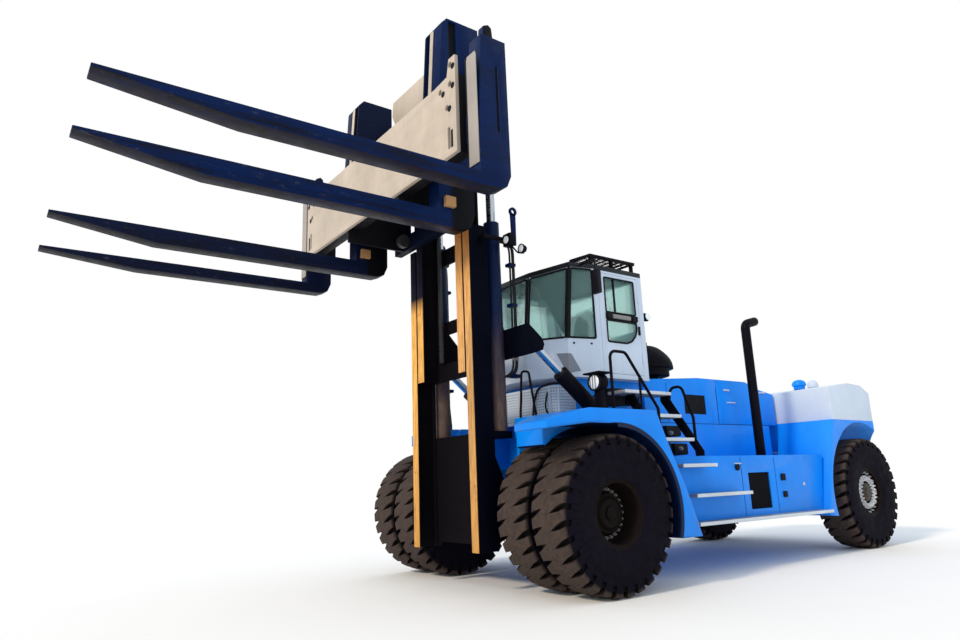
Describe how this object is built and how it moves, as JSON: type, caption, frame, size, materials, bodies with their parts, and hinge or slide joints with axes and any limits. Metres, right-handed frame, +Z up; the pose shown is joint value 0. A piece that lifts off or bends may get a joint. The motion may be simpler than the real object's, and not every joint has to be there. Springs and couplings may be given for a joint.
{
  "type": "diesel forklift truck",
  "caption": "Heavy diesel counterbalance forklift with a raised two-stage mast, a wide fork carriage, twin front wheels and steered rear wheels.",
  "frame": {"origin": "centre of the whole truck's bounding box, on the ground", "axes": "+X forward along the forks, +Y to the truck's left, +Z up"},
  "size_m": [11.78, 4.39, 6.33],
  "materials": {
    "blue_paint": "gloss",
    "deep_blue_paint": "gloss",
    "beige_paint": "satin",
    "grey_paint": "satin",
    "black_paint": "satin",
    "silver_tread": "satin",
    "rim_paint": "satin",
    "tyre_rubber": "matte",
    "cast_black": "matte",
    "chromed_rod": "polished",
    "window_glass": "clear",
    "cab_trim": "matte",
    "chair_cloth": "matte",
    "mirror_glass": "matte"
  },
  "bodies": {
    "chassis": {"chassis_frame": "blue_paint", "cross_members": "blue_paint", "frame_tail": "blue_paint", "grille_box": "grey_paint", "rear_lamps": "black_paint", "drive_axle": "cast_black", "steer_axle": "cast_black", "fenders": "blue_paint", "cab_shell": "grey_paint", "cab_glass": "window_glass", "cab_base": "blue_paint", "roof_guard": "black_paint", "operator_chair": "chair_cloth", "dashboard": "cab_trim", "bonnet_front": "blue_paint", "engine_block": "cast_black", "counterweight": "blue_paint", "counterweight_cap": "grey_paint", "tow_jaw": "cast_black", "side_tanks": "blue_paint", "steps": "silver_tread", "stair_frames": "black_paint", "handrails": "black_paint", "exhaust_stack": "black_paint", "air_cleaner": "black_paint", "headlamps": "black_paint", "mirrors": "mirror_glass", "tilt_feet": "black_paint"},
    "front_wheels_left": {"front_rims_left": "rim_paint", "front_tyres_left": "tyre_rubber"},
    "front_wheels_right": {"front_rims_right": "rim_paint", "front_tyres_right": "tyre_rubber"},
    "knuckle_left": {"steer_knuckle_left": "cast_black"},
    "knuckle_right": {"steer_knuckle_right": "cast_black"},
    "rear_wheel_left": {"rear_rim_left": "rim_paint", "rear_tyre_left": "tyre_rubber"},
    "rear_wheel_right": {"rear_rim_right": "rim_paint", "rear_tyre_right": "tyre_rubber"},
    "cab_door": {"cab_door": "grey_paint", "door_glass": "window_glass"},
    "bonnet_lid_left": {"bonnet_lid_left": "blue_paint"},
    "bonnet_lid_right": {"bonnet_lid_right": "blue_paint"},
    "outer_mast": {"outer_mast": "deep_blue_paint", "lift_barrels": "deep_blue_paint", "mast_lamps": "black_paint"},
    "inner_mast": {"inner_mast": "deep_blue_paint", "lift_rods": "chromed_rod"},
    "carriage": {"carriage_frame": "deep_blue_paint", "carriage_ribs": "deep_blue_paint", "carriage_front_plate": "beige_paint", "outer_forks": "deep_blue_paint"},
    "inner_fork_left": {"inner_fork_left": "deep_blue_paint"},
    "inner_fork_right": {"inner_fork_right": "deep_blue_paint"},
    "tilt_barrel_left": {"tilt_barrel_left": "black_paint"},
    "tilt_barrel_right": {"tilt_barrel_right": "black_paint"},
    "tilt_rod_left": {"tilt_rod_left": "chromed_rod"},
    "tilt_rod_right": {"tilt_rod_right": "chromed_rod"}
  },
  "joints": [
    {"name": "front_wheels_left_spin", "type": "hinge", "parent": "chassis", "child": "front_wheels_left", "pos_m": [0.91, 1.403, 0.8075], "axis": [0, 1, 0], "continuous": true},
    {"name": "steer_left", "type": "hinge", "parent": "chassis", "child": "knuckle_left", "pos_m": [-4.84, 0.98, 0.8075], "axis": [0, 0, 1], "range_deg": [-60, 60]},
    {"name": "rear_wheel_left_spin", "type": "hinge", "parent": "knuckle_left", "child": "rear_wheel_left", "pos_m": [-4.84, 1.382, 0.8075], "axis": [0, 1, 0], "continuous": true},
    {"name": "bonnet_lid_left_swing", "type": "hinge", "parent": "chassis", "child": "bonnet_lid_left", "pos_m": [-3.22, 0.076, 2.51], "axis": [1, 0, 0], "range_deg": [0, 70]},
    {"name": "inner_fork_left_slide", "type": "slide", "parent": "carriage", "child": "inner_fork_left", "axis": [0, 1, 0], "range_m": [-0.15, 0.15]},
    {"name": "tilt_barrel_left_swing", "type": "hinge", "parent": "chassis", "child": "tilt_barrel_left", "pos_m": [0.11, 0.95, 1.885], "axis": [0, 1, 0], "range_deg": [-8.72, 4.46]},
    {"name": "tilt_rod_left_slide", "type": "slide", "parent": "tilt_barrel_left", "child": "tilt_rod_left", "axis": [0.779, 0, 0.6271], "range_m": [-0.2818, 0.1424]},
    {"name": "front_wheels_right_spin", "type": "hinge", "parent": "chassis", "child": "front_wheels_right", "pos_m": [0.91, -1.403, 0.8075], "axis": [0, 1, 0], "continuous": true},
    {"name": "steer_right", "type": "hinge", "parent": "chassis", "child": "knuckle_right", "pos_m": [-4.84, -0.98, 0.8075], "axis": [0, 0, 1], "range_deg": [-60, 60]},
    {"name": "rear_wheel_right_spin", "type": "hinge", "parent": "knuckle_right", "child": "rear_wheel_right", "pos_m": [-4.84, -1.382, 0.8075], "axis": [0, 1, 0], "continuous": true},
    {"name": "bonnet_lid_right_swing", "type": "hinge", "parent": "chassis", "child": "bonnet_lid_right", "pos_m": [-3.22, -0.076, 2.51], "axis": [-1, 0, 0], "range_deg": [0, 70]},
    {"name": "inner_fork_right_slide", "type": "slide", "parent": "carriage", "child": "inner_fork_right", "axis": [0, 1, 0], "range_m": [-0.15, 0.15]},
    {"name": "tilt_barrel_right_swing", "type": "hinge", "parent": "chassis", "child": "tilt_barrel_right", "pos_m": [0.11, -0.95, 1.885], "axis": [0, 1, 0], "range_deg": [-8.72, 4.46]},
    {"name": "tilt_rod_right_slide", "type": "slide", "parent": "tilt_barrel_right", "child": "tilt_rod_right", "axis": [0.779, 0, 0.6271], "range_m": [-0.2818, 0.1424]},
    {"name": "cab_door_swing", "type": "hinge", "parent": "chassis", "child": "cab_door", "pos_m": [-0.7975, 0.9, 3.1], "axis": [0, 0, 1], "range_deg": [0, 90]},
    {"name": "mast_tilt", "type": "hinge", "parent": "chassis", "child": "outer_mast", "pos_m": [1.26, 0, 0.76], "axis": [0, 1, 0], "range_deg": [-10, 5]},
    {"name": "inner_lift", "type": "slide", "parent": "outer_mast", "child": "inner_mast", "axis": [0, 0, 1], "range_m": [-1.88, 0]},
    {"name": "carriage_lift", "type": "slide", "parent": "inner_mast", "child": "carriage", "axis": [0, 0, 1], "range_m": [-1.88, 0]}
  ],
  "couplings": [
    {"joint": "steer_right", "follows": "steer_left", "ratio": 1},
    {"joint": "carriage_lift", "follows": "inner_lift", "ratio": 1},
    {"joint": "inner_fork_right_slide", "follows": "inner_fork_left_slide", "ratio": -1},
    {"joint": "tilt_barrel_left_swing", "follows": "mast_tilt", "ratio": 0.8517},
    {"joint": "tilt_rod_left_slide", "follows": "mast_tilt", "m_per_rad": 1.5975},
    {"joint": "tilt_barrel_right_swing", "follows": "mast_tilt", "ratio": 0.8517},
    {"joint": "tilt_rod_right_slide", "follows": "mast_tilt", "m_per_rad": 1.5975}
  ]
}
